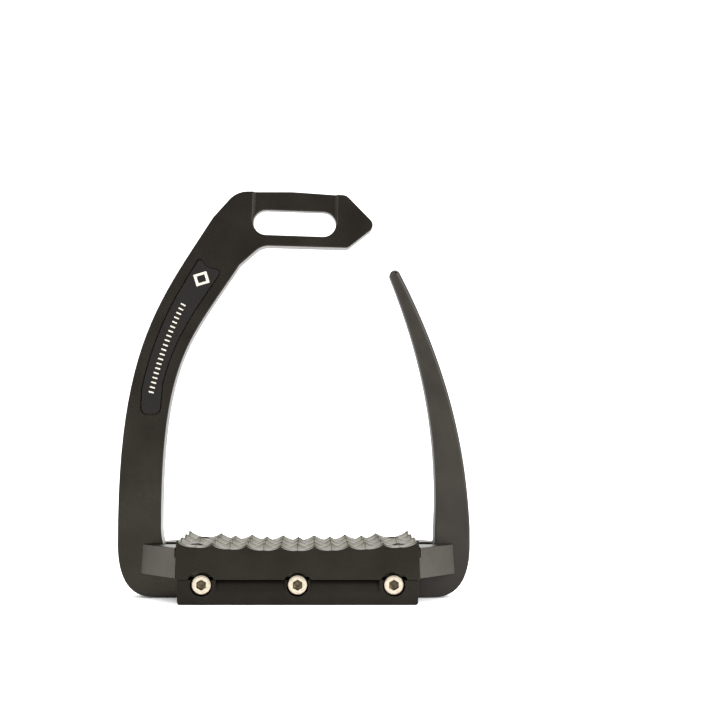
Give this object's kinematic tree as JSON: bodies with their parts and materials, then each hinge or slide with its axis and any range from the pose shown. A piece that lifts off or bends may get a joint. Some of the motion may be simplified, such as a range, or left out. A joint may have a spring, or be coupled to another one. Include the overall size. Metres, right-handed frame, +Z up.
{
  "type": "safety stirrup iron",
  "caption": "Safety stirrup iron: dark rigid branch with a slotted eye for the leather, milled diamond-grip tread, and an outer branch that flexes away to free the foot.",
  "frame": {"origin": "middle of the base, under the tread, on the surface it stands on", "axes": "+Z up to the eye for the leather, +X to the flexible outer branch, -Y to the front face with the inlay"},
  "size_m": [0.1546, 0.048, 0.1786],
  "materials": {
    "anodised_frame": "black anodised aluminium, fine satin blast",
    "anodised_bridge": "black anodised aluminium, machined flats",
    "anodised_bar": "black anodised aluminium, fine satin blast",
    "tread": "black anodised, with the grip milled through to bare metal",
    "inlay": "matte black plate with a light printed ornament",
    "branch_moulding": "matte black flexible moulding",
    "stainless": "bright stainless steel",
    "black_steel": "blackened steel",
    "bush_steel": "turned steel"
  },
  "bodies": {
    "iron": {"frame": "anodised_frame", "branch_inlay": "inlay", "front_bridge": "anodised_bridge", "rear_bridge": "anodised_bridge", "tread": "tread", "front_bar": "anodised_bar", "rear_bar": "anodised_bar", "cap_screw_front_1": "stainless", "cap_screw_front_2": "stainless", "cap_screw_front_3": "stainless", "cap_screw_rear_1": "stainless", "cap_screw_rear_2": "stainless", "cap_screw_rear_3": "stainless", "grip_screw_1": "black_steel", "grip_screw_2": "black_steel", "grip_screw_3": "black_steel", "grip_screw_4": "black_steel", "thread_bush_1": "bush_steel", "thread_bush_2": "bush_steel", "thread_bush_3": "bush_steel", "outer_branch_root": "branch_moulding"},
    "branch_lower": {"outer_branch_lower": "branch_moulding"},
    "branch_middle": {"outer_branch_middle": "branch_moulding"},
    "branch_tip": {"outer_branch_tip": "branch_moulding"}
  },
  "joints": [
    {"name": "flex_lower", "type": "hinge", "parent": "iron", "child": "branch_lower", "pos_m": [0.06955, 0, 0.031], "axis": [0, 1, 0], "range_deg": [0, 27], "stiffness_Nm_per_rad": 2},
    {"name": "flex_middle", "type": "hinge", "parent": "branch_lower", "child": "branch_middle", "pos_m": [0.06724, 0, 0.06601], "axis": [0, 1, 0], "range_deg": [0, 19]},
    {"name": "flex_upper", "type": "hinge", "parent": "branch_middle", "child": "branch_tip", "pos_m": [0.05858, 0, 0.10501], "axis": [0, 1, 0], "range_deg": [0, 17]}
  ],
  "couplings": [
    {"joint": "flex_middle", "follows": "flex_lower", "ratio": 0.7037},
    {"joint": "flex_upper", "follows": "flex_lower", "ratio": 0.6296}
  ]
}
